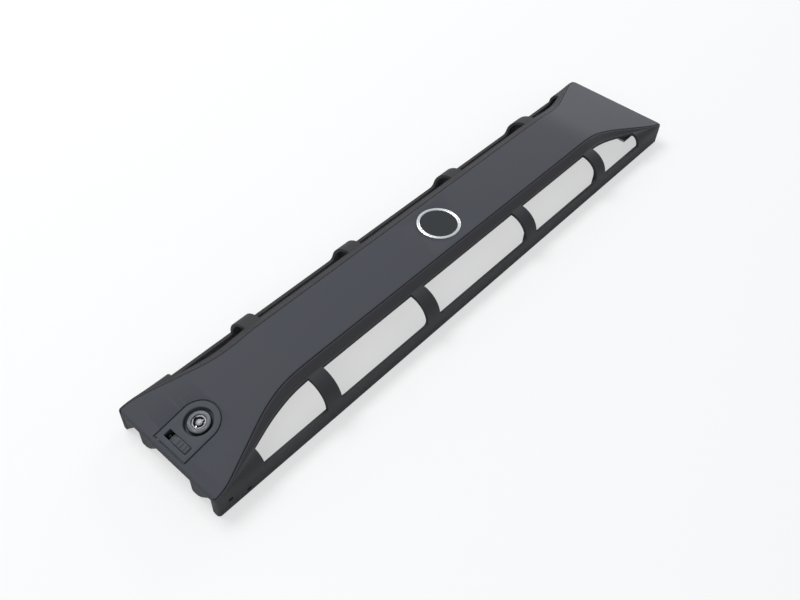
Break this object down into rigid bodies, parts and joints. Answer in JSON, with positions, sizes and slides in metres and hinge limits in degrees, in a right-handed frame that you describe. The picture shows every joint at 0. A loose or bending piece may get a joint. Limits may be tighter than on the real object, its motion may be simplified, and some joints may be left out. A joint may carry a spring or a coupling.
{
  "type": "server front bezel",
  "caption": "Dark moulded front bezel for a 2U server chassis, with open windows above and below a flat band, a round badge, a key lock and a sprung release latch.",
  "frame": {"origin": "middle of the bezel's length and height, on the plane of its back rim", "axes": "+X along the length from the lock's end to the hooks' end, +Y up the bezel when it is fitted, +Z out of its front"},
  "size_m": [0.468, 0.087, 0.035],
  "materials": {
    "frame_plastic": "near-black moulded plastic with a fine grain",
    "panel_plastic": "dark blue-grey moulded plastic, satin, with a fine grain",
    "ring_metal": "satin silver",
    "badge_plastic": "dark and smooth",
    "housing_plastic": "dark grey moulded plastic, satin",
    "button_plastic": "dark grey moulded plastic, satin",
    "lock_metal": "black plated, turned",
    "plug_metal": "dark plated, worn where the key turns",
    "nut_brass": "turned brass",
    "pin_steel": "bright",
    "zinc_steel": "zinc plated, satin",
    "screw_steel": "zinc plated",
    "rivet_steel": "satin",
    "spring_steel": "bright drawn wire"
  },
  "bodies": {
    "root": {"frame": "frame_plastic", "front_panel": "panel_plastic", "badge_ring": "ring_metal", "badge_disc": "badge_plastic", "badge_push_nuts": "zinc_steel", "lock_housing": "housing_plastic", "housing_screws": "screw_steel", "latch_cover": "frame_plastic", "latch_cover_screws": "screw_steel", "lock_barrel": "lock_metal", "lock_washer": "zinc_steel", "lock_nut": "nut_brass", "latch_spring": "spring_steel", "hook_plate": "zinc_steel", "hook_plate_screws": "screw_steel", "panel_screws": "screw_steel"},
    "lock": {"lock_plug": "plug_metal", "lock_pins": "pin_steel", "lock_cam": "zinc_steel", "cam_washer": "zinc_steel", "cam_screw": "screw_steel"},
    "latch": {"release_slider": "button_plastic", "latch_hook": "zinc_steel", "hook_rivets": "rivet_steel", "spring_stud": "rivet_steel"}
  },
  "joints": [
    {"name": "lock_turn", "type": "hinge", "parent": "root", "child": "lock", "pos_m": [-0.2093, 0, 0.02255], "axis": [-0.2116, 0, 0.9774], "range_deg": [0, 90]},
    {"name": "latch_slide", "type": "slide", "parent": "root", "child": "latch", "axis": [0, 1, 0], "range_m": [0, 0.005], "stiffness_N_per_m": 250, "springref_m": -0.002, "deforming": ["latch_spring"]}
  ]
}
